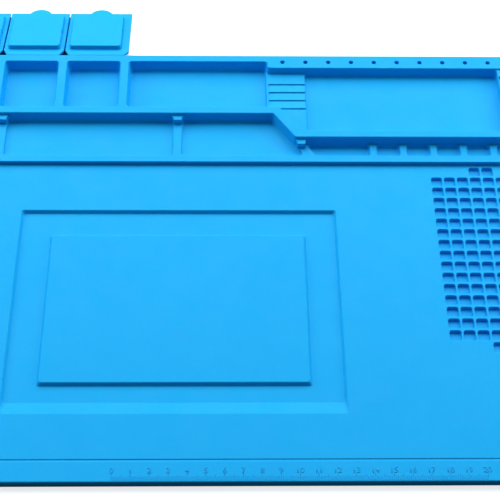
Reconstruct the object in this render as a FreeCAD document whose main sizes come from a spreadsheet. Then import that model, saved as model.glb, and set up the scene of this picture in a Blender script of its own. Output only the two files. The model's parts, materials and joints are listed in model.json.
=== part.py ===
"""Silicone repair mat with a raised parts-sorting bank and three flip lids (millimetres).

One moulded mat carries everything: a flat work surface with a ruler line, a recess that locates a
circuit board, a field of small screw cells, and a raised bank of compartments along the rear.
Three lids are joined to the rear rim by thin living hinges and lie open behind the mat at rest.

Frame: +X right, +Y to the rear, +Z up. The origin is the centre of the mat's underside.
"""
import FreeCAD, Part
import math
import os

import Sketcher

doc = FreeCAD.newDocument("parts_sorting_mat")
sheet = doc.addObject("Spreadsheet::Sheet", "dims")


# ---------------------------------------------------------------- driving dimensions

DIMENSIONS = {
    # the mat
    "mat_width": 405.0, "mat_depth": 305.0, "base_thickness": 5.0, "corner_radius": 4.0,
    # levels of the bank, above the bench
    "high_rim": 13.5, "low_rim": 7.8, "ledge_height": 11.5,
    "box_floor": 5.9, "bay_floor": 6.5, "small_box_floor": 5.4,
    "left_rest_peak": 9.0, "left_rest_low": 8.3, "right_rest_peak": 12.5, "right_rest_low": 11.2,
    "draft_angle": 10.0,
    # the bank in depth, counted forwards from the rear edge
    "rear_rail": 5.5, "hole_rail": 11.2, "row_one_depth": 40.0, "cross_rim": 5.5,
    "row_two_depth": 30.6, "bay_depth": 54.2, "front_rim": 5.0,
    # the bank across
    "side_wall": 5.4, "right_margin": 9.9, "lid_pitch": 40.4, "lid_box": 35.0,
    "long_box": 90.8, "rest_width": 25.6, "bay_width": 125.2,
    "divider": 5.2, "left_divider": 45.7, "middle_divider": 156.8,
    "small_pitch": 19.05, "small_wall": 4.1, "small_count": 6,
    # roundings
    "box_corner": 2.0, "floor_radius": 1.0, "mouth_radius": 0.6, "outer_radius": 0.8,
    "recess_corner": 2.0, "lid_edge": 0.4,
    # ledges where a low divider meets a high wall
    "ledge_length": 3.9, "ledge_flare": 2.6, "ledge_rear": 0.5, "ledge_round": 0.7,
    # the slanting rim
    "slant_rear": 224.2, "slant_front": 220.3, "slant_cot": 0.6745, "slant_wall": 5.6,
    # tool rests
    "left_tooth": 7.05, "left_tooth_first": 10.3, "right_tooth": 10.5, "right_tooth_first": 6.4,
    "rest_strip": 0.5, "tooth_land": 0.5, "left_rest_end": 1.0, "right_rest_end": 2.0,
    "bay_overlap": 1.37,
    # holes in the rear rail
    "bit_hole_diameter": 3.0, "bit_hole_row": 6.0, "bit_hole_depth": 9.0,
    "bit_hole_pitch": 15.05, "bit_hole_first": 24.8, "bit_hole_count": 12,
    # circuit-board recess and its plateau
    "recess_left": 66.0, "recess_rear": 123.0, "recess_width": 191.0, "recess_length": 141.0,
    "recess_drop": 2.0, "recess_slope": 1.4, "recess_ramp": 8.0,
    "plateau_left": 20.1, "plateau_rear": 19.2, "plateau_width": 150.6, "plateau_length": 101.9,
    # screw cells
    "cell": 7.0, "cell_pitch": 8.08, "cell_drop": 2.1, "cell_corner": 1.6, "cell_draft": 6.0,
    "cell_columns": 8, "cell_rows": 15, "cells_left": 317.6, "cells_rear": 97.0,
    "end_cell_column": 3, "end_cells": 2,
    # ruler line
    "ruler_inset": 1.0, "ruler_line": 12.9, "ruler_groove": 1.2, "ruler_groove_depth": 0.25,
    # lids
    "hinge_reach": 0.4, "web_thickness": 1.0, "droop": 12.4, "lid_plate": 1.6, "lid_length": 51.4,
    "lid_slot": 0.8, "root_notch": 2.5, "root_notch_length": 5.0, "side_notch_length": 3.2,
    "tab_chord": 14.4, "tab_height": 5.0, "tab_root": 1.2, "plug_length": 39.6,
    "plug_height": 2.8, "plug_draft": 11.0, "plug_clearance": 0.15, "plug_corner": 2.0,
    "vent_radius": 1.0, "vent_place": 25.0,
}

# how the edges and faces to finish are told apart
TOUCH = 0.01          # places closer than this are the same place
UPRIGHT = 1e-6        # the most that an upright face's normal may rise
SLIVER = 0.5          # shorter edges and lower faces are left as they are
OVERCUT = 2.0         # how far a cut runs past the outside of the mat
BANK_MARGIN = 1.0     # nothing nearer than this to the mat's outside belongs to a compartment

for row, (alias, number) in enumerate(DIMENSIONS.items(), start=1):
    sheet.set("A%d" % row, alias.replace("_", " "))
    sheet.set("B%d" % row, repr(number))
    sheet.setAlias("B%d" % row, alias)
doc.recompute()


class Size:
    """A length that knows its number and the spreadsheet expression it comes from."""

    def __init__(self, number, text):
        self.number, self.text = number, text

    def __add__(self, other):
        other = as_size(other)
        return Size(self.number + other.number, "(%s + %s)" % (self.text, other.text))

    def __sub__(self, other):
        other = as_size(other)
        return Size(self.number - other.number, "(%s - %s)" % (self.text, other.text))

    def __mul__(self, other):
        other = as_size(other)
        return Size(self.number * other.number, "(%s * %s)" % (self.text, other.text))

    def __truediv__(self, other):
        other = as_size(other)
        return Size(self.number / other.number, "(%s / %s)" % (self.text, other.text))

    def __neg__(self):
        return Size(-self.number, "(-1 * %s)" % self.text)


def as_size(value):
    return value if isinstance(value, Size) else Size(float(value), repr(float(value)))


def dim(alias):
    """One driving dimension of the sheet."""
    return Size(DIMENSIONS[alias], "dims." + alias)


# ---------------------------------------------------------------- places worked out from them

left_edge = -(dim("mat_width") / 2)
right_edge = dim("mat_width") / 2
front_edge = -(dim("mat_depth") / 2)
rear_edge = dim("mat_depth") / 2

rail_front = rear_edge - dim("rear_rail")
hole_rail_front = rear_edge - dim("hole_rail")
row_one_front = rail_front - dim("row_one_depth")
cross_front = row_one_front - dim("cross_rim")
row_two_front = cross_front - dim("row_two_depth")
bank_front = row_two_front - dim("front_rim")
bay_front = hole_rail_front - dim("bay_depth")
bay_cross_front = bay_front - dim("cross_rim")


first_box = left_edge + dim("side_wall")
long_left = first_box + dim("lid_pitch") * 3
long_right = long_left + dim("long_box")
rest_right = long_right + dim("rest_width")
bay_left = rest_right - dim("bay_overlap")
bay_right = rest_right + dim("bay_width")
inner_right = right_edge - dim("right_margin")

slant_rear_x = left_edge + dim("slant_rear")
slant_front_x = left_edge + dim("slant_front")

recess_left = left_edge + dim("recess_left")
recess_right = recess_left + dim("recess_width")
recess_rear = rear_edge - dim("recess_rear")
recess_front = recess_rear - dim("recess_length")


# ---------------------------------------------------------------- sketch and feature helpers

def plane_of(body, role):
    for feature in body.Origin.OriginFeatures:
        if feature.Role == role:
            return feature
    raise ValueError(role)


def new_sketch(body, name, height=None, role="XY_Plane"):
    """A sketch on one of the body's own planes, moved along the plane's normal by height."""
    sketch = body.newObject("Sketcher::SketchObject", name)
    sketch.AttachmentSupport = [(plane_of(body, role), "")]
    sketch.MapMode = "FlatFace"
    if height is not None:
        height = as_size(height)
        sketch.AttachmentOffset = FreeCAD.Placement(
            FreeCAD.Vector(0, 0, height.number), FreeCAD.Rotation())
        sketch.setExpression("AttachmentOffset.Base.z", height.text)
    return sketch


def bind(sketch, kind, *where):
    """Add a constraint whose last argument is a Size, and tie it to the sheet."""
    *geometry, size = where
    index = sketch.addConstraint(Sketcher.Constraint(kind, *geometry, size.number))
    sketch.setExpression("Constraints[%d]" % index, size.text)


def place_point(sketch, geometry, point, x, y):
    bind(sketch, "DistanceX", -1, 1, geometry, point, as_size(x))
    bind(sketch, "DistanceY", -1, 1, geometry, point, as_size(y))


def outline(sketch, corners):
    """A closed chain of straight sides with every corner placed from the sheet."""
    points = [FreeCAD.Vector(as_size(x).number, as_size(y).number, 0) for x, y in corners]
    count = len(points)
    first = sketch.GeometryCount
    for index, point in enumerate(points):
        sketch.addGeometry(Part.LineSegment(point, points[(index + 1) % count]), False)
    for index, (x, y) in enumerate(corners):
        joined = first + (index + 1) % count
        sketch.addConstraint(Sketcher.Constraint("Coincident", first + index, 2, joined, 1))
        place_point(sketch, first + index, 1, x, y)


def rectangle(sketch, left, right, front, rear):
    outline(sketch, [(left, front), (right, front), (right, rear), (left, rear)])


def rounded_rectangle(sketch, left, right, front, rear, radius):
    """Four straight sides joined by four equal corner arcs."""
    left, right, front, rear = (as_size(side) for side in (left, right, front, rear))
    r = as_size(radius).number
    x0, x1, y0, y1 = left.number, right.number, front.number, rear.number
    vector, line = FreeCAD.Vector, sketch.GeometryCount
    sides = [((x0 + r, y0), (x1 - r, y0)), ((x1, y0 + r), (x1, y1 - r)),
             ((x1 - r, y1), (x0 + r, y1)), ((x0, y1 - r), (x0, y0 + r))]
    for start, end in sides:
        sketch.addGeometry(Part.LineSegment(vector(*start, 0), vector(*end, 0)), False)
    centres = [(x1 - r, y0 + r), (x1 - r, y1 - r), (x0 + r, y1 - r), (x0 + r, y0 + r)]
    for turn, centre in enumerate(centres):
        start = math.radians(90 * turn - 90)
        round_corner = Part.Circle(vector(*centre, 0), vector(0, 0, 1), r)
        sketch.addGeometry(Part.ArcOfCircle(round_corner, start, start + math.pi / 2), False)
    arc = line + 4
    for turn in range(4):
        sketch.addConstraint(Sketcher.Constraint("Tangent", line + turn, 2, arc + turn, 1))
        sketch.addConstraint(
            Sketcher.Constraint("Tangent", arc + turn, 2, line + (turn + 1) % 4, 1))
    for turn in range(1, 4):
        sketch.addConstraint(Sketcher.Constraint("Equal", arc, arc + turn))
    sketch.addConstraint(Sketcher.Constraint("Horizontal", line))
    sketch.addConstraint(Sketcher.Constraint("Vertical", line + 1))
    bind(sketch, "Radius", arc, as_size(radius))
    bind(sketch, "DistanceY", -1, 1, line, 1, front)
    bind(sketch, "DistanceX", -1, 1, line + 1, 1, right)
    bind(sketch, "DistanceY", -1, 1, line + 2, 1, rear)
    bind(sketch, "DistanceX", -1, 1, line + 3, 1, left)


def circle(sketch, x, y, radius):
    x, y, radius = as_size(x), as_size(y), as_size(radius)
    centre = FreeCAD.Vector(x.number, y.number, 0)
    index = sketch.addGeometry(
        Part.Circle(centre, FreeCAD.Vector(0, 0, 1), radius.number), False)
    place_point(sketch, index, 3, x, y)
    bind(sketch, "Radius", index, radius)


def pad(body, name, sketch, length, reverse=False):
    feature = body.newObject("PartDesign::Pad", name)
    feature.Profile = sketch
    feature.setExpression("Length", as_size(length).text)
    feature.Reversed = reverse
    return feature


def pocket(body, name, sketch, depth, taper=None):
    feature = body.newObject("PartDesign::Pocket", name)
    feature.Profile = sketch
    feature.setExpression("Length", as_size(depth).text)
    if taper is not None:
        feature.setExpression("TaperAngle", taper.text)
    return feature


def fillet(body, name, radius, choose):
    """Round the edges of the body's tip that the test picks."""
    doc.recompute()
    base = body.Tip
    edges = ["Edge%d" % number
             for number, edge in enumerate(base.Shape.Edges, start=1) if choose(edge)]
    if not edges:
        raise RuntimeError("no edges found for " + name)
    feature = body.newObject("PartDesign::Fillet", name)
    feature.Base = (base, edges)
    feature.setExpression("Radius", as_size(radius).text)
    return feature


def box_pocket(body, name, left, right, front, rear, top, floor):
    """An upright rectangular cut, down from one level to its floor."""
    sketch = new_sketch(body, name + "_sketch", top)
    rectangle(sketch, left, right, front, rear)
    return pocket(body, name, sketch, as_size(top) - floor)


def shaped_pocket(body, name, corners, top, floor):
    sketch = new_sketch(body, name + "_sketch", top)
    outline(sketch, corners)
    return pocket(body, name, sketch, as_size(top) - floor)


def draft_walls(body, name, level, choose, angle=dim("draft_angle")):
    """Lean the chosen upright faces outwards, turning them about their edge at the given level."""
    doc.recompute()
    base = body.Tip
    faces = ["Face%d" % number
             for number, face in enumerate(base.Shape.Faces, start=1) if choose(face)]
    plane = body.newObject("PartDesign::Plane", name + "_level")
    plane.AttachmentSupport = [(plane_of(body, "XY_Plane"), "")]
    plane.MapMode = "FlatFace"
    plane.setExpression("AttachmentOffset.Base.z", as_size(level).text)
    doc.recompute()
    feature = body.newObject("PartDesign::Draft", name)
    feature.Base = (base, faces)
    feature.NeutralPlane = (plane, [""])
    feature.setExpression("Angle", angle.text)
    return feature


def is_wall_below(level):
    """Picks upright flat faces inside the bank whose top edge is at the level."""
    def test(face):
        box = face.BoundBox
        upright = box.ZLength > SLIVER and abs(face.normalAt(0, 0).z) < UPRIGHT
        across = max(abs(box.XMin), abs(box.XMax)) < right_edge.number - SLIVER
        across = across or box.YLength < TOUCH
        along = box.YMin > row_two_front.number - TOUCH and box.YMax < rear_edge.number - SLIVER
        return upright and across and along and abs(box.ZMax - level.number) < TOUCH
    return test


# ---------------------------------------------------------------- the mat

mat = doc.addObject("PartDesign::Body", "tray_mat")
mat.Label = "tray_mat"


def mat_slab():
    """The flat base, and the full block that the bank is cut from."""
    sketch = new_sketch(mat, "base_sketch")
    rectangle(sketch, left_edge, right_edge, front_edge, rear_edge)
    pad(mat, "base", sketch, dim("base_thickness"))
    sketch = new_sketch(mat, "bank_sketch")
    rectangle(sketch, left_edge, right_edge, bank_front, rear_edge)
    pad(mat, "bank", sketch, dim("high_rim"))
    fillet(mat, "mat_corners", dim("corner_radius"), is_outer_corner)


def is_outer_corner(edge):
    """Vertical edges at the four corners of the mat."""
    box = edge.BoundBox
    at_side = abs(abs(box.XMin) - right_edge.number) < TOUCH
    at_end = abs(abs(box.YMin) - rear_edge.number) < TOUCH
    return is_upright(edge) and at_side and at_end


def lower_front_row():
    """Take the front row down to the low rim, up to the cross rim and its slanting part."""
    sketch = new_sketch(mat, "front_row_sketch", dim("high_rim"))
    slant_end = slant_front_x + (cross_front - bay_cross_front) * dim("slant_cot")
    outline(sketch, [
        (left_edge - OVERCUT, bank_front - OVERCUT), (right_edge + OVERCUT, bank_front - OVERCUT),
        (right_edge + OVERCUT, bay_cross_front), (slant_end, bay_cross_front),
        (slant_front_x, cross_front), (left_edge - OVERCUT, cross_front)])
    pocket(mat, "front_row", sketch, dim("high_rim") - dim("low_rim"))


def rear_row():
    """Three lidded boxes, the long box, the left tool rest, the open bay and the right rest."""
    for index, name in enumerate(("left", "middle", "right")):
        left = first_box + dim("lid_pitch") * index
        box_pocket(mat, "lidded_box_" + name, left, left + dim("lid_box"),
                   row_one_front, rail_front, dim("high_rim"), dim("box_floor"))
    box_pocket(mat, "long_box_cut", long_left, long_right, row_one_front, rail_front,
               dim("high_rim"), dim("box_floor"))
    rest_left = long_right - dim("small_wall")
    slant_end = slant_rear_x + (row_one_front - bay_front) * dim("slant_cot")
    shaped_pocket(mat, "left_rest_cut", [
        (rest_left, row_one_front), (slant_rear_x, row_one_front), (slant_end, bay_front),
        (rest_right + dim("small_wall"), bay_front),
        (rest_right + dim("small_wall"), hole_rail_front), (rest_left, hole_rail_front)],
        dim("high_rim"), dim("left_rest_peak"))
    box_pocket(mat, "bay_cut", bay_left, bay_right, bay_front, hole_rail_front,
               dim("high_rim"), dim("bay_floor"))
    box_pocket(mat, "right_rest_cut", bay_right - dim("small_wall"), inner_right,
               bay_front, hole_rail_front, dim("high_rim"), dim("right_rest_peak"))


def front_row():
    """Boxes between the low dividers, with one side cut on the slant, and the small boxes."""
    left_one = left_edge + dim("left_divider")
    left_two = left_edge + dim("middle_divider")
    box_pocket(mat, "front_box_one", first_box, left_one, row_two_front, cross_front,
               dim("low_rim"), dim("box_floor"))
    box_pocket(mat, "front_box_two", left_one + dim("divider"), left_two,
               row_two_front, cross_front, dim("low_rim"), dim("box_floor"))
    slant_low = slant_front_x + (cross_front - row_two_front) * dim("slant_cot")
    shaped_pocket(mat, "front_box_three", [
        (left_two + dim("divider"), row_two_front), (slant_low, row_two_front),
        (slant_front_x, cross_front), (left_two + dim("divider"), cross_front)],
        dim("low_rim"), dim("box_floor"))
    slant_right = slant_low + dim("slant_wall")
    slant_right_rear = slant_right - (bay_cross_front - row_two_front) * dim("slant_cot")
    first_wall = inner_right - dim("small_pitch") * dim("small_count")
    shaped_pocket(mat, "front_box_four", [
        (slant_right, row_two_front), (first_wall, row_two_front),
        (first_wall, bay_cross_front), (slant_right_rear, bay_cross_front)],
        dim("low_rim"), dim("small_box_floor"))
    for index in range(int(dim("small_count").number)):
        left = first_wall + dim("small_pitch") * index + dim("small_wall")
        right = first_wall + dim("small_pitch") * (index + 1)
        box_pocket(mat, "small_box_%d" % (index + 1), left, right, row_two_front,
                   bay_cross_front, dim("low_rim"), dim("small_box_floor"))


def ledge(name, wall, rear_left, rear_right, front_left, front_right):
    """A step that widens from the end of a low divider to the high wall behind it."""
    bury = dim("ledge_rear")
    rear = wall - bury
    neck, front = rear - dim("ledge_length") / 2, rear - dim("ledge_length")
    sketch = new_sketch(mat, name + "_sketch", dim("low_rim") - bury)
    outline(sketch, [
        (front_left, front), (front_right, front), (front_right, neck), (rear_right, rear),
        (rear_right, wall + bury), (rear_left, wall + bury), (rear_left, rear),
        (front_left, neck)])
    pad(mat, name, sketch, dim("ledge_height") - dim("low_rim") + bury)
    fillet(mat, name + "_front", dim("ledge_round"), is_ledge_front(front))


def is_ledge_front(place):
    def test(edge):
        at_front = abs(edge.BoundBox.YMax - place.number) < TOUCH
        return is_level_edge(dim("ledge_height"))(edge) and at_front
    return test


def ledges():
    half, flare = dim("divider") / 2, dim("ledge_flare") / 2
    for side in ("left", "middle"):
        middle = left_edge + dim(side + "_divider") + half
        ledge("ledge_" + side, cross_front, middle - half - flare, middle + half + flare,
              middle - half, middle + half)
    slant_end = slant_front_x + (cross_front - bay_cross_front) * dim("slant_cot")
    right = slant_end + dim("slant_wall") + flare
    ledge("ledge_slant", bay_cross_front, slant_end, right, slant_end + flare, right - flare / 2)


def tool_rest(name, left, right, first_step, tooth, peak, low, end):
    """Scallops across a rest: each floor rises gently forwards and then drops to the next."""
    sketch = new_sketch(mat, name + "_sketch", left, role="YZ_Plane")
    land = dim("tooth_land")
    step = first_step
    while step.number - tooth.number > end.number:
        outline(sketch, [(step, peak), (step, low), (step - tooth + land, peak)])
        step = step - tooth
    outline(sketch, [(step, peak), (step, low), (end + land * 2, low), (end, peak)])
    feature = pocket(mat, name, sketch, right - left)
    feature.Reversed = True
    return feature


def bit_holes():
    """A line of blind holes in the wide part of the rear rail, for driver bits and tweezers."""
    sketch = new_sketch(mat, "bit_hole_sketch", dim("high_rim"))
    circle(sketch, dim("bit_hole_first"), rear_edge - dim("bit_hole_row"),
           dim("bit_hole_diameter") / 2)
    hole = pocket(mat, "bit_hole", sketch, dim("bit_hole_depth"))
    doc.recompute()
    line = mat.newObject("PartDesign::LinearPattern", "bit_holes")
    line.Originals = [hole]
    line.Direction = (plane_of(mat, "X_Axis"), [""])
    line.setExpression("Length", (dim("bit_hole_pitch") * (dim("bit_hole_count") - 1)).text)
    line.setExpression("Occurrences", "dims.bit_hole_count")
    mat.Tip = line


def tapered_step(name, kind, low, high):
    """A loft between two rectangles at two levels, each given as sides and a level."""
    sketches = []
    for part, (left, right, front, rear, level) in (("low", low), ("high", high)):
        sketch = new_sketch(mat, "%s_%s_sketch" % (name, part), level)
        rectangle(sketch, left, right, front, rear)
        sketches.append(sketch)
    loft = mat.newObject(kind, name)
    loft.Profile = sketches[0]
    loft.Sections = sketches[1:]
    loft.Ruled = True


def board_recess():
    """The shallow recess that locates a circuit board, with a ramp in front and a plateau."""
    top, drop, slope = dim("base_thickness"), dim("recess_drop"), dim("recess_slope")
    tapered_step("board_recess", "PartDesign::SubtractiveLoft",
                 (recess_left + slope, recess_right - slope, recess_front + dim("recess_ramp"),
                  recess_rear - slope, top - drop),
                 (recess_left, recess_right, recess_front, recess_rear, top))
    left, rear = recess_left + dim("plateau_left"), recess_rear - dim("plateau_rear")
    right, front = left + dim("plateau_width"), rear - dim("plateau_length")
    tapered_step("board_plateau", "PartDesign::AdditiveLoft",
                 (left - slope, right + slope, front - slope, rear + slope, top - drop),
                 (left, right, front, rear, top))


def screw_cells():
    """A grid of small cells, with two more in the middle of its rear and front ends."""
    top, pitch = dim("base_thickness"), dim("cell_pitch")
    left, rear = left_edge + dim("cells_left"), rear_edge - dim("cells_rear")
    sketch = new_sketch(mat, "cell_sketch", top)
    rounded_rectangle(sketch, left, left + dim("cell"), rear - dim("cell"), rear,
                      dim("cell_corner"))
    cell = pocket(mat, "cell", sketch, dim("cell_drop"), -dim("cell_draft"))
    doc.recompute()
    grid = mat.newObject("PartDesign::MultiTransform", "cell_grid")
    grid.Originals = [cell]
    rows = []
    for name, axis, count in (("cell_row", "X_Axis", "cell_columns"),
                              ("cell_column", "Y_Axis", "cell_rows")):
        line = mat.newObject("PartDesign::LinearPattern", name)
        line.Direction = (plane_of(mat, axis), [""])
        line.setExpression("Length", (pitch * (dim(count) - 1)).text)
        line.setExpression("Occurrences", "dims." + count)
        line.Reversed = axis == "Y_Axis"
        rows.append(line)
    grid.Transformations = rows
    mat.Tip = grid
    doc.recompute()
    sketch = new_sketch(mat, "end_cells_sketch", top)
    for column in range(DIMENSIONS["end_cells"]):
        for row in (-1, DIMENSIONS["cell_rows"]):
            x, y = left + pitch * (dim("end_cell_column") + column), rear - pitch * row
            rounded_rectangle(sketch, x, x + dim("cell"), y - dim("cell"), y, dim("cell_corner"))
    pocket(mat, "end_cells", sketch, dim("cell_drop"), -dim("cell_draft"))


def ruler_line():
    sketch = new_sketch(mat, "ruler_line_sketch", dim("base_thickness"))
    middle, half = front_edge + dim("ruler_line"), dim("ruler_groove") / 2
    inset = dim("ruler_inset")
    rectangle(sketch, left_edge + inset, right_edge - inset, middle - half, middle + half)
    pocket(mat, "ruler_line", sketch, dim("ruler_groove_depth"))


def is_level_edge(level):
    def test(edge):
        box = edge.BoundBox
        return box.ZLength < TOUCH and abs(box.ZMin - level.number) < TOUCH
    return test


def is_upright(edge):
    box = edge.BoundBox
    return box.ZLength > SLIVER and box.XLength < TOUCH and box.YLength < TOUCH


def is_inside_bank(edge):
    box = edge.BoundBox
    across = max(abs(box.XMin), abs(box.XMax)) < right_edge.number - BANK_MARGIN
    along = box.YMin > row_two_front.number - SLIVER and box.YMax < rear_edge.number - BANK_MARGIN
    return across and along


def is_box_corner(edge):
    """Leaning corner edges of the compartments."""
    box = edge.BoundBox
    leaning = box.ZLength > SLIVER and max(box.XLength, box.YLength) < box.ZLength
    return leaning and is_inside_bank(edge)


def is_box_floor(edge):
    floors = (dim("box_floor"), dim("bay_floor"), dim("small_box_floor"))
    return is_inside_bank(edge) and any(is_level_edge(floor)(edge) for floor in floors)


def is_high_mouth(edge):
    """Top edges of the high rim, but for the one that the lids hang on."""
    rear = edge.BoundBox.YMin > (rear_edge - dim("corner_radius")).number - TOUCH
    return is_level_edge(dim("high_rim"))(edge) and not rear


def is_front_top(edge):
    """The work surface's outer edge, along the front and both sides."""
    box = edge.BoundBox
    outer = max(abs(box.XMin), abs(box.XMax)) > right_edge.number - TOUCH
    outer = outer or box.YMin < front_edge.number + TOUCH
    return is_level_edge(dim("base_thickness"))(edge) and outer


def is_in_recess(edge):
    box = edge.BoundBox
    across = box.XMin > recess_left.number - TOUCH and box.XMax < recess_right.number + TOUCH
    along = box.YMin > recess_front.number - TOUCH and box.YMax < recess_rear.number + TOUCH
    return across and along


def is_recess_corner(edge):
    """Leaning corners of the board recess and of its plateau."""
    return is_in_recess(edge) and edge.BoundBox.ZLength > dim("recess_drop").number - TOUCH


def is_recess_rim(edge):
    return is_in_recess(edge) and is_level_edge(dim("base_thickness"))(edge)


mat_slab()
lower_front_row()
rear_row()
front_row()
draft_walls(mat, "high_walls", dim("high_rim"), is_wall_below(dim("high_rim")))
draft_walls(mat, "low_walls", dim("low_rim"), is_wall_below(dim("low_rim")))
fillet(mat, "box_corners", dim("box_corner"), is_box_corner)
fillet(mat, "box_floors", dim("floor_radius"), is_box_floor)
fillet(mat, "high_mouths", dim("mouth_radius"), is_high_mouth)
fillet(mat, "front_top", dim("outer_radius"), is_front_top)
board_recess()
fillet(mat, "recess_corners", dim("recess_corner"), is_recess_corner)
fillet(mat, "recess_rims", dim("mouth_radius"), is_recess_rim)
ledges()
strip = dim("rest_strip")
tool_rest("left_rest", long_right + strip, rest_right - strip,
          hole_rail_front - dim("left_tooth_first"), dim("left_tooth"), dim("left_rest_peak"),
          dim("left_rest_low"), row_one_front + dim("left_rest_end"))
tool_rest("right_rest", bay_right + strip, inner_right - strip,
          hole_rail_front - dim("right_tooth_first"), dim("right_tooth"), dim("right_rest_peak"),
          dim("right_rest_low"), bay_front + dim("right_rest_end"))
bit_holes()
ruler_line()
screw_cells()


# ---------------------------------------------------------------- lids and their hinges

hinge_line = rear_edge + dim("hinge_reach")


def sine(angle):
    return Size(math.sin(math.radians(angle.number)), "sin(%s * 1 deg)" % angle.text)


def cosine(angle):
    return Size(math.cos(math.radians(angle.number)), "cos(%s * 1 deg)" % angle.text)


def lid(name, box_centre, left, right, left_notch, right_notch):
    """A lid lying open. Its own frame starts on the hinge line: +Y runs to the free edge, and
    +Z points out of the side that carries the plug and that faces down when the lid is shut."""
    body = doc.addObject("PartDesign::Body", name)
    body.Label = name
    root, far = dim("hinge_reach"), dim("lid_length")
    inset = dim("root_notch")
    sketch = new_sketch(body, name + "_plate_sketch")
    outline(sketch, [
        (left + inset, root), (right - inset, root), (right, root + right_notch), (right, far),
        (left, far), (left, root + left_notch)])
    pad(body, name + "_plate", sketch, dim("lid_plate"), reverse=True)

    chord, rise = dim("tab_chord"), dim("tab_height")
    tab_radius = (chord * chord / 4 + rise * rise) / (rise * 2)
    middle = (left + right) / 2
    sketch = new_sketch(body, name + "_tab_sketch")
    circle(sketch, middle, far + rise - tab_radius, tab_radius)
    pad(body, name + "_tab", sketch, dim("lid_plate"), reverse=True)
    tab_ends = (middle - chord / 2, middle + chord / 2)
    fillet(body, name + "_tab_roots", dim("tab_root"), is_upright_at(tab_ends, far))
    fillet(body, name + "_plate_edges", dim("lid_edge"), is_plate_edge)

    half = dim("lid_box") / 2 - dim("plug_clearance")
    start = root + dim("rear_rail") + dim("plug_clearance")
    end = start + dim("plug_length")
    sketch = new_sketch(body, name + "_plug_sketch")
    rectangle(sketch, -half, half, start, end)
    pad(body, name + "_plug", sketch, dim("plug_height"))
    draft_walls(body, name + "_plug_draft", as_size(0), is_plug_wall, dim("plug_draft"))
    fillet(body, name + "_plug_corners", dim("plug_corner"), is_plug_corner)
    fillet(body, name + "_plug_top", dim("lid_edge"), is_level_edge(dim("plug_height")))
    vents = new_sketch(body, name + "_vent_sketch", dim("plug_height"))
    for side in (-half, half):
        circle(vents, side, dim("vent_place"), dim("vent_radius"))
    pocket(body, name + "_vents", vents, dim("plug_height"))

    body.Placement = FreeCAD.Placement(
        FreeCAD.Vector(box_centre.number, hinge_line.number, dim("high_rim").number),
        FreeCAD.Rotation(FreeCAD.Vector(1, 0, 0), -dim("droop").number))
    for axis, place in (("x", box_centre), ("y", hinge_line), ("z", dim("high_rim"))):
        body.setExpression("Placement.Base." + axis, place.text)
    body.setExpression("Placement.Rotation.Angle", "-1 deg * dims.droop")
    return body


def is_upright_at(places, y):
    """Picks edges along Z that stand at one of the x places and at y."""
    def test(edge):
        box = edge.BoundBox
        across = min(abs(box.XMin - x.number) for x in places) < TOUCH
        return is_upright(edge) and across and abs(box.YMin - y.number) < TOUCH
    return test


def is_plate_edge(edge):
    """Level edges of the plate and its tab, but for the root that the web joins."""
    box = edge.BoundBox
    return box.ZLength < TOUCH and box.YMax > dim("hinge_reach").number + TOUCH


def is_plug_wall(face):
    box = face.BoundBox
    return box.ZMin > -TOUCH and box.ZLength > SLIVER and abs(face.normalAt(0, 0).z) < UPRIGHT


def is_plug_corner(edge):
    box = edge.BoundBox
    return box.ZMin > -TOUCH and box.ZLength > SLIVER


def hinge_web(name, left, right):
    """The thin strip that a lid bends on, between the rear rim and the lid's root."""
    body = doc.addObject("PartDesign::Body", name)
    body.Label = name
    droop, reach, thick = dim("droop"), dim("hinge_reach"), dim("web_thickness")
    top = dim("high_rim")
    end_y, end_z = hinge_line + reach * cosine(droop), top - reach * sine(droop)
    sketch = new_sketch(body, name + "_sketch", left, role="YZ_Plane")
    outline(sketch, [
        (rear_edge, top - thick),
        (hinge_line - thick * sine(droop) / 2, top - thick),
        (end_y - thick * sine(droop), end_z - thick * cosine(droop)),
        (end_y, end_z), (hinge_line, top), (rear_edge, top)])
    pad(body, name + "_strip", sketch, right - left)
    return body


def lids_and_webs():
    """Neighbouring lids part over the middle of the wall between their boxes."""
    half_slot, half_wall = dim("lid_slot") / 2, (dim("lid_pitch") - dim("lid_box")) / 2
    reach = dim("lid_box") / 2 + half_wall - half_slot
    outer = dim("lid_box") / 2 + half_wall * 2 - dim("lid_slot")
    plain, corner = dim("root_notch_length"), dim("side_notch_length")
    plans = (("left", -outer, reach, corner, plain), ("middle", -reach, reach, plain, plain),
             ("right", -reach, outer, plain, corner))
    made = []
    for index, (side, left, right, left_notch, right_notch) in enumerate(plans):
        centre = first_box + dim("lid_box") / 2 + dim("lid_pitch") * index
        made.append(lid("lid_" + side, centre, left, right, left_notch, right_notch))
        inset = dim("root_notch")
        made.append(hinge_web("hinge_web_" + side, centre + left + inset, centre + right - inset))
    return made


pieces = [mat] + lids_and_webs()


# ---------------------------------------------------------------- checks and export

doc.recompute()
for thing in doc.Objects:
    if "Invalid" in thing.State or "Error" in thing.State:
        raise RuntimeError("%s failed: %s" % (thing.Name, thing.State))
for piece in pieces:
    shape = piece.Shape
    if shape.isNull() or not shape.isValid() or len(shape.Solids) != 1:
        raise RuntimeError(piece.Label + " is not one valid solid")

os.makedirs("parts", exist_ok=True)
for piece in pieces:
    piece.Shape.exportStep(os.path.join("parts", piece.Label + ".step"))
    print("%s %.0f mm3" % (piece.Label, piece.Shape.Volume))
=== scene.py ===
"""Looks for the silicone repair mat with its parts-sorting bank and three flip lids.

The moulded shapes come from the CAD frame. This script adds the raised ruler marks, the bending
hinge webs, the silicone finish, and a pale studio with the camera at the photograph's angle.
Lengths are in metres unless a name ends in _mm.
"""
import json
import math

import bmesh
import bpy
from mathutils import Matrix, Vector

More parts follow.
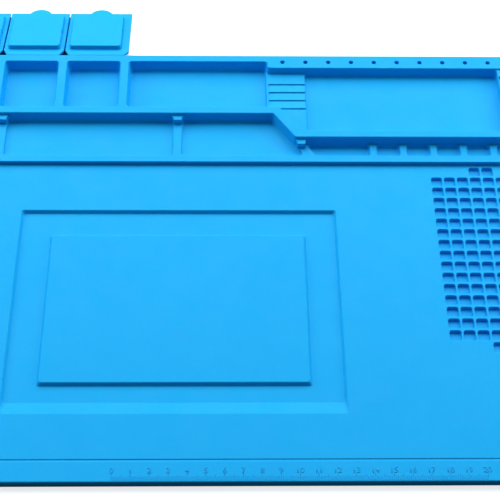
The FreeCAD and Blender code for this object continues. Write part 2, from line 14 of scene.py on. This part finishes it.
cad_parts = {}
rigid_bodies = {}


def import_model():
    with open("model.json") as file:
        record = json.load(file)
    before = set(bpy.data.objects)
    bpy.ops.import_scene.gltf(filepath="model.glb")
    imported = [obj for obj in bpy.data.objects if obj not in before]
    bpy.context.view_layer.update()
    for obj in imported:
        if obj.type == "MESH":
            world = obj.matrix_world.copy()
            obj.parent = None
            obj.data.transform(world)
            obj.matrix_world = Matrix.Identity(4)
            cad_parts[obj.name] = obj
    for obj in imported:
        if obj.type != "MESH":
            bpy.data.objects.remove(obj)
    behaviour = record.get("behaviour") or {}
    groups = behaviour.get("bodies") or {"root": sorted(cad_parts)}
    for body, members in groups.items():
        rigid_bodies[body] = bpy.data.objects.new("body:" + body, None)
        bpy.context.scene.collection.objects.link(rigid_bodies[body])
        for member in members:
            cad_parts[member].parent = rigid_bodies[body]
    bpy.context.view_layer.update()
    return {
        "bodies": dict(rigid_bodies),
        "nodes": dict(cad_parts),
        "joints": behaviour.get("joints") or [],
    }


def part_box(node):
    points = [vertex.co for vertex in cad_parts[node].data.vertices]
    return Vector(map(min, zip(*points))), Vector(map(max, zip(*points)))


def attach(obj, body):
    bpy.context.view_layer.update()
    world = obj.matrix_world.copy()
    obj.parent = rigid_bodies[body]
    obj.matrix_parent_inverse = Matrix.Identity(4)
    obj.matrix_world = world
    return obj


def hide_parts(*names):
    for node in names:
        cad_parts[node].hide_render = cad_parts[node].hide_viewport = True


MM = 0.001

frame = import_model()
mat_low, mat_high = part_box("tray_mat")
LIDS = ("lid_left", "lid_middle", "lid_right")
WEBS = {"hinge_web_left": "left_lid", "hinge_web_middle": "middle_lid",
        "hinge_web_right": "right_lid"}
WORK_SURFACE = mat_low.z + 5.0 * MM


def mesh_from(shape, name):
    """Turns a finished bmesh into mesh data."""
    data = bpy.data.meshes.new(name)
    shape.to_mesh(data)
    shape.free()
    return data


# ---------------------------------------------------------------- node helpers

class Nodes:
    """Short ways to add and wire the nodes of one tree."""

    def __init__(self, tree):
        self.tree = tree
        tree.nodes.clear()

    def add(self, kind, inputs=None, **settings):
        node = self.tree.nodes.new(kind)
        for name, value in settings.items():
            setattr(node, name, value)
        for name, value in (inputs or {}).items():
            self.feed(value, node.inputs[name])
        return node

    def feed(self, value, socket):
        if isinstance(value, bpy.types.NodeSocket):
            self.tree.links.new(value, socket)
        else:
            socket.default_value = value

    def math(self, operation, *values, clamp=False):
        node = self.add("ShaderNodeMath", operation=operation, use_clamp=clamp)
        for index, value in enumerate(values):
            self.feed(value, node.inputs[index])
        return node.outputs[0]

    def ramp(self, value, low, high, to_low=0.0, to_high=1.0):
        node = self.add("ShaderNodeMapRange", {"Value": value, "From Min": low, "From Max": high,
                                               "To Min": to_low, "To Max": to_high})
        node.interpolation_type = "SMOOTHSTEP"
        return node.outputs["Result"]

    def noise(self, where, size_mm, detail=2.0, roughness=0.5):
        """Noise whose blobs are about size_mm across, from 0 to 1."""
        node = self.add("ShaderNodeTexNoise", {
            "Vector": where, "Scale": 1.0 / (size_mm * MM), "Detail": detail,
            "Roughness": roughness})
        return node.outputs["Fac"]

    def tint(self, share, colour, other, blend="MIX"):
        node = self.add("ShaderNodeMix", data_type="RGBA", blend_type=blend)
        self.feed(share, node.inputs["Factor"])
        self.feed(colour, node.inputs[6])
        self.feed(other, node.inputs[7])
        return node.outputs[2]


# ---------------------------------------------------------------- silicone

BASE_BLUE = (0.004, 0.44, 0.93, 1.0)
DEEP_BLUE = (0.003, 0.37, 0.89, 1.0)
# Paler blue for the edges: partly rubbed wear, partly painted highlight.
EDGE_WEAR_AND_HIGHLIGHT_BLUE = (0.035, 0.56, 0.98, 1.0)
LID_DEEP_BLUE = (0.012, 0.36, 0.90, 1.0)
MARK_BLUE = (0.010, 0.40, 0.90, 1.0)
DUST_BLUE = (0.55, 0.72, 0.85, 1.0)
SOFT_EDGE, WIDE_EDGE = 0.7 * MM, 1.2 * MM


def silicone(name, base, deep, rim, roughness, grain_mm=0.35):
    """Soft moulded silicone: a faint flow mottle and specks of deeper blue, paler edges that are
    partly rubbed wear and partly painted highlight, a faint dust and a grain.
    """
    material = bpy.data.materials.new(name)
    material.use_nodes = True
    n = Nodes(material.node_tree)
    where = n.add("ShaderNodeTexCoord").outputs["Object"]
    geometry = n.add("ShaderNodeNewGeometry")

    soft = n.add("ShaderNodeBevel", {"Radius": SOFT_EDGE}, samples=4).outputs["Normal"]
    wide = n.add("ShaderNodeBevel", {"Radius": WIDE_EDGE}, samples=4).outputs["Normal"]
    facing = n.add("ShaderNodeVectorMath", {0: wide, 1: geometry.outputs["True Normal"]},
                   operation="DOT_PRODUCT").outputs["Value"]
    edge = n.ramp(facing, 0.97, 0.72)
    hollow = n.add("ShaderNodeAmbientOcclusion", {"Distance": 5.0 * MM}, samples=6,
                   inside=False).outputs["AO"]
    # Paler edges, partly rubbed wear and partly painted highlight along the rims, kept out of
    # hollows.
    rubbed_and_highlit = n.math("MULTIPLY", edge, n.ramp(n.noise(where, 6.0, 3.0), 0.25, 0.75, 0.45, 1.0))
    rubbed_and_highlit = n.math("MULTIPLY", rubbed_and_highlit, n.ramp(hollow, 0.5, 0.8))

    flow = n.ramp(n.noise(where, 38.0, 3.0, 0.55), 0.3, 0.7)
    speck = n.ramp(n.noise(where, 1.6, 2.0), 0.35, 0.65)
    colour = n.tint(n.math("MULTIPLY", flow, 0.12), base, deep)
    colour = n.tint(n.math("MULTIPLY", speck, 0.10), colour, deep)
    # Edges tinted toward the paler blue: painted highlight and wear.
    colour = n.tint(n.math("MULTIPLY", rubbed_and_highlit, 0.35), colour, rim)

    dust = n.ramp(n.noise(where, 0.9, 1.0), 0.74, 0.82)
    colour = n.tint(n.math("MULTIPLY", dust, 0.10), colour, DUST_BLUE)

    grain = n.noise(where, grain_mm, 3.0, 0.6)
    ripple = n.noise(where, 9.0, 2.0)
    bump = n.add("ShaderNodeBump", {"Height": ripple, "Distance": 0.10 * MM, "Strength": 0.35,
                                    "Normal": soft}).outputs["Normal"]
    bump = n.add("ShaderNodeBump", {"Height": grain, "Distance": 0.02 * MM, "Strength": 0.5,
                                    "Normal": bump}).outputs["Normal"]

    worn = n.ramp(n.noise(where, 14.0, 3.0), 0.3, 0.7, -0.05, 0.05)
    rough = n.math("ADD", worn, roughness)
    rough = n.math("ADD", rough, n.math("MULTIPLY", rubbed_and_highlit, 0.08), clamp=True)

    shader = n.add("ShaderNodeBsdfPrincipled", {
        "Base Color": colour, "Roughness": rough, "Normal": bump,
        "Specular IOR Level": 0.10, "Subsurface Weight": 0.12, "Subsurface Scale": 1.0 * MM})
    shader.inputs["Subsurface Radius"].default_value = (0.3, 0.9, 1.6)
    n.add("ShaderNodeOutputMaterial", {"Surface": shader.outputs["BSDF"]})
    return material


mat_silicone = silicone("mat_silicone", BASE_BLUE, DEEP_BLUE, EDGE_WEAR_AND_HIGHLIGHT_BLUE, 0.52)
lid_silicone = silicone("lid_silicone", BASE_BLUE, LID_DEEP_BLUE, EDGE_WEAR_AND_HIGHLIGHT_BLUE, 0.55)
web_silicone = silicone("web_silicone", BASE_BLUE, DEEP_BLUE, EDGE_WEAR_AND_HIGHLIGHT_BLUE, 0.50, 0.3)
mark_silicone = silicone("mark_silicone", MARK_BLUE, DEEP_BLUE, EDGE_WEAR_AND_HIGHLIGHT_BLUE, 0.50, 0.3)


def finish_with(piece, material):
    piece.data.materials.clear()
    piece.data.materials.append(material)
    for polygon in piece.data.polygons:
        polygon.material_index = 0


finish_with(frame["nodes"]["tray_mat"], mat_silicone)
for node in LIDS:
    finish_with(frame["nodes"][node], lid_silicone)


# ---------------------------------------------------------------- raised ruler marks

RULER_ZERO_X = -73.3 * MM
RULER_STEPS = 200
TICK_LONG, TICK_MIDDLE, TICK_SHORT = 4.2 * MM, 3.2 * MM, 2.3 * MM
TICK_WIDE = 0.28 * MM
MARK_RISE, MARK_SINK = 0.16 * MM, 0.2 * MM
TICK_FOOT = 1.1 * MM
NUMERAL_SIZE = 4.6 * MM
NUMERAL_BASE = 5.3 * MM
NUMERAL_SWELL = 0.04 * MM


def new_piece(name, mesh, body, material):
    piece = bpy.data.objects.new(name, mesh)
    bpy.context.scene.collection.objects.link(piece)
    finish_with(piece, material)
    if body:
        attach(piece, body)
    return piece


def add_ridge(mesh, left, right, front, rear, taper):
    """A low ridge with sloping sides, sunk a little into the surface that it stands on."""
    foot, top = WORK_SURFACE - MARK_SINK, WORK_SURFACE + MARK_RISE
    rings = []
    for inset, height in ((0.0, foot), (0.0, WORK_SURFACE), (taper, top)):
        rings.append([mesh.verts.new((x, y, height)) for x, y in (
            (left + inset, front + inset), (right - inset, front + inset),
            (right - inset, rear - inset), (left + inset, rear - inset))])
    mesh.faces.new(reversed(rings[0]))
    mesh.faces.new(rings[-1])
    for low, high in zip(rings, rings[1:]):
        for side in range(4):
            turn = (side + 1) % 4
            mesh.faces.new((low[side], low[turn], high[turn], high[side]))


def ruler_ticks():
    mesh = bmesh.new()
    front = mat_low.y + TICK_FOOT
    for step in range(RULER_STEPS + 1):
        length = TICK_LONG if step % 10 == 0 else TICK_MIDDLE if step % 5 == 0 else TICK_SHORT
        middle = RULER_ZERO_X + step * MM
        add_ridge(mesh, middle - TICK_WIDE / 2, middle + TICK_WIDE / 2, front, front + length,
                  TICK_WIDE * 0.2)
    new_piece("ruler_ticks", mesh_from(mesh, "ruler_ticks"), "mat", mark_silicone)


def ruler_numerals():
    """One raised numeral at every long tick, all in one mesh."""
    joined = bmesh.new()
    for number in range(RULER_STEPS // 10 + 1):
        words = bpy.data.curves.new("numeral", "FONT")
        words.body = str(number)
        words.size = NUMERAL_SIZE
        words.align_x = "CENTER"
        words.extrude = (MARK_RISE + MARK_SINK) / 2
        words.offset = NUMERAL_SWELL
        holder = bpy.data.objects.new("numeral", words)
        bpy.context.scene.collection.objects.link(holder)
        bpy.context.view_layer.update()
        shape = holder.to_mesh()
        place = Vector((RULER_ZERO_X + number * 10 * MM, mat_low.y + NUMERAL_BASE,
                        WORK_SURFACE + (MARK_RISE - MARK_SINK) / 2))
        shape.transform(Matrix.Translation(place))
        joined.from_mesh(shape)
        holder.to_mesh_clear()
        bpy.data.objects.remove(holder)
        bpy.data.curves.remove(words)
    new_piece("ruler_numerals", mesh_from(joined, "ruler_numerals"), "mat", mark_silicone)


ruler_ticks()
ruler_numerals()


# ---------------------------------------------------------------- bending hinge webs

WEB_THICK = 1.0 * MM
WEB_STEPS = 16
WEB_GRIP = 0.35 * MM
WEB_SINK = 0.03 * MM
LID_DROOP = math.radians(12.4)
LEAST_TURN = math.radians(-30)


def web_profile(pivot, droop, reach):
    """Rows along the web, as (share of the lid's turn, slope, place of its top): flat on the
    mat's side of the hinge line and sloping with the lid on the other. The ends that reach into
    the mat and the lid lie a hair under their tops."""
    rows = []
    half = reach + WEB_GRIP
    for step in range(WEB_STEPS + 1):
        along = half * (2 * step / WEB_STEPS - 1)
        share = min(max(along / reach * 0.5 + 0.5, 0.0), 1.0)
        slope = droop * share
        direction = Vector((0.0, math.cos(slope), -math.sin(slope)))
        sunk = WEB_SINK if abs(along) > reach else 0.0
        down = Vector((0.0, -math.sin(slope), -math.cos(slope)))
        rows.append((share, slope, pivot + direction * along + down * sunk))
    return rows


def bend_with_lid(piece, body, pivot):
    """A modifier that turns each part of the web about the hinge line by its share of the lid's
    angle. It works past a half turn, which a shut lid needs."""
    tree = bpy.data.node_groups.new("bend_" + piece.name, "GeometryNodeTree")
    tree.interface.new_socket("Geometry", in_out="INPUT", socket_type="NodeSocketGeometry")
    tree.interface.new_socket("Geometry", in_out="OUTPUT", socket_type="NodeSocketGeometry")
    n = Nodes(tree)
    start, end = n.add("NodeGroupInput"), n.add("NodeGroupOutput")
    lid = n.add("GeometryNodeObjectInfo", {"Object": frame["bodies"][body]},
                transform_space="RELATIVE")
    arm = n.add("FunctionNodeRotateVector",
                {"Vector": (0.0, 1.0, 0.0), "Rotation": lid.outputs["Rotation"]})
    arm = n.add("ShaderNodeSeparateXYZ", {"Vector": arm.outputs["Vector"]})
    angle = n.math("ARCTAN2", arm.outputs["Z"], arm.outputs["Y"])
    angle = n.math("WRAP", angle, LEAST_TURN + 2 * math.pi, LEAST_TURN)
    share = n.add("GeometryNodeInputNamedAttribute", {"Name": "lid_share"}, data_type="FLOAT")
    angle = n.math("MULTIPLY", angle, share.outputs["Attribute"])
    position = n.add("GeometryNodeInputPosition").outputs["Position"]
    turned = n.add("ShaderNodeVectorRotate", {"Vector": position, "Center": tuple(pivot),
                                              "Angle": angle}, rotation_type="X_AXIS")
    moved = n.add("GeometryNodeSetPosition", {"Geometry": start.outputs[0],
                                              "Position": turned.outputs["Vector"]})
    n.feed(moved.outputs["Geometry"], end.inputs[0])
    piece.modifiers.new("bend", "NODES").node_group = tree


def hinge_web(node, body):
    joint = next(j for j in frame["joints"] if j["child"] == body)
    pivot = Vector(joint["pos_m"])
    low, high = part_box(node)
    rows = web_profile(Vector((0.0, pivot.y, pivot.z)), LID_DROOP, pivot.y - mat_high.y)
    mesh = bmesh.new()
    rings = []
    for _, slope, top in rows:
        down = Vector((0.0, -math.sin(slope), -math.cos(slope))) * WEB_THICK
        rings.append([mesh.verts.new(Vector((x, 0.0, 0.0)) + place)
                      for x, place in ((low.x, top), (high.x, top),
                                       (high.x, top + down), (low.x, top + down))])
    mesh.faces.new(rings[0])
    mesh.faces.new(reversed(rings[-1]))
    for near, far in zip(rings, rings[1:]):
        for side in range(4):
            turn = (side + 1) % 4
            mesh.faces.new((near[side], far[side], far[turn], near[turn]))
    bmesh.ops.recalc_face_normals(mesh, faces=mesh.faces)
    data = mesh_from(mesh, node + "_bent")
    lid_share = data.attributes.new("lid_share", "FLOAT", "POINT")
    lid_share.data.foreach_set("value", [share for share, _, _ in rows for _ in range(4)])
    piece = new_piece(node + "_bent", data, "mat", web_silicone)
    bend_with_lid(piece, body, pivot)
    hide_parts(node)


for node, body in WEBS.items():
    hinge_web(node, body)


# ---------------------------------------------------------------- studio

FLOOR_HALF = 6.0
FLOOR_GAP = 0.05 * MM
SHADE_REACH = 30.0 * MM
SHADE_FULL, SHADE_NONE = 0.22, 0.46
FLOOR_GLOW = 0.75
SHADED_FLOOR = (0.0, 0.10, 0.30, 1.0)
OPEN_FLOOR = (0.50, 0.60, 0.70, 1.0)
BOUNCE_FLOOR = (0.10, 0.11, 0.12, 1.0)


def studio_floor():
    """A table that the camera sees glowing pale where it is open and in painted navy shade where the
    part covers it closely, as in narrow slots. All other light meets a dark table, so that the sides
    facing the viewer stay deep. Neither is how a real table behaves: both match the photograph."""
    mesh = bmesh.new()
    bmesh.ops.create_grid(mesh, x_segments=1, y_segments=1, size=FLOOR_HALF)
    floor = bpy.data.objects.new("studio_floor", mesh_from(mesh, "studio_floor"))
    floor.location.z = mat_low.z - FLOOR_GAP
    bpy.context.scene.collection.objects.link(floor)
    material = bpy.data.materials.new("studio_floor")
    material.use_nodes = True
    n = Nodes(material.node_tree)
    seen = n.add("ShaderNodeLightPath").outputs["Is Camera Ray"]
    open_sky = n.add("ShaderNodeAmbientOcclusion", {"Distance": SHADE_REACH},
                     samples=16).outputs["AO"]
    # Painted shade: where the ambient occlusion finds the part close by, the seen table turns navy
    # and stops glowing.
    opened = n.ramp(open_sky, SHADE_FULL, SHADE_NONE)
    glow = n.math("MULTIPLY", opened, FLOOR_GLOW)
    tone = n.tint(opened, SHADED_FLOOR, OPEN_FLOOR)
    pale = n.add("ShaderNodeBsdfDiffuse", {"Color": tone}).outputs[0]
    lit = n.add("ShaderNodeEmission", {"Strength": glow}).outputs[0]
    pale = n.add("ShaderNodeAddShader", {0: pale, 1: lit}).outputs[0]
    dim = n.add("ShaderNodeBsdfDiffuse", {"Color": BOUNCE_FLOOR}).outputs[0]
    mixed = n.add("ShaderNodeMixShader", {0: seen, 1: dim, 2: pale}).outputs[0]
    n.add("ShaderNodeOutputMaterial", {"Surface": mixed})
    finish_with(floor, material)


def area_light(name, place, aim, size, power):
    data = bpy.data.lights.new(name, "AREA")
    data.shape = "RECTANGLE"
    data.size, data.size_y = size
    data.energy = power
    light = bpy.data.objects.new(name, data)
    light.location = place
    light.rotation_mode = "QUATERNION"
    light.rotation_quaternion = (Vector(aim) - Vector(place)).to_track_quat("-Z", "Y")
    bpy.context.scene.collection.objects.link(light)


REAR_WATTS, SIDE_WATTS = 41.0, 2.2
REAR_PLACE, REAR_SIZE = (0.0, 1.15, 1.15), (2.4, 1.5)
SIDE_OUT, SIDE_BACK, SIDE_UP, SIDE_SIZE = 0.75, 0.25, 0.35, (0.4, 0.3)
SIDE_AIM = (0.0, 0.05, 0.0)
SKY_TINT, SKY_STRENGTH = (0.9, 0.95, 1.0, 1.0), 0.10


def studio_lights():
    """A broad light behind the mat, one low light on each side and very little from the front."""
    area_light("rear_softbox", REAR_PLACE, (0.0, 0.0, 0.0), REAR_SIZE, REAR_WATTS)
    for name, out in (("left_softbox", -SIDE_OUT), ("right_softbox", SIDE_OUT)):
        area_light(name, (out, SIDE_BACK, SIDE_UP), SIDE_AIM, SIDE_SIZE, SIDE_WATTS)
    world = bpy.data.worlds.new("studio")
    bpy.context.scene.world = world
    world.use_nodes = True
    background = world.node_tree.nodes["Background"]
    background.inputs["Color"].default_value = SKY_TINT
    background.inputs["Strength"].default_value = SKY_STRENGTH


CAMERA_PLACE = Vector((-14.8, -465.5, 636.2)) * MM
YAW, PITCH, ROLL = 2.047, 53.608, -1.680
LENS_MM, SENSOR_MM = 94.73, 36.0


def photograph_camera():
    """Looks down at the mat from in front, a little left of its middle. The place, turn and lens
    come from a fit to the photograph's ruler, board recess and screw grid."""
    yaw, pitch, roll = (math.radians(angle) for angle in (YAW, PITCH, ROLL))
    forward = Vector((math.sin(yaw) * math.cos(pitch), math.cos(yaw) * math.cos(pitch),
                      -math.sin(pitch)))
    level = Vector((math.cos(yaw), -math.sin(yaw), 0.0))
    below = forward.cross(level)
    right = level * math.cos(roll) + below * math.sin(roll)
    down = below * math.cos(roll) - level * math.sin(roll)
    data = bpy.data.cameras.new("camera")
    data.lens = LENS_MM
    data.sensor_width = SENSOR_MM
    data.clip_start = 0.01
    camera = bpy.data.objects.new("camera", data)
    turn = Matrix((right, -down, -forward)).transposed().to_4x4()
    camera.matrix_world = Matrix.Translation(CAMERA_PLACE) @ turn
    bpy.context.scene.collection.objects.link(camera)
    bpy.context.scene.camera = camera


studio_floor()
studio_lights()
photograph_camera()
bpy.context.scene.view_settings.view_transform = "Standard"
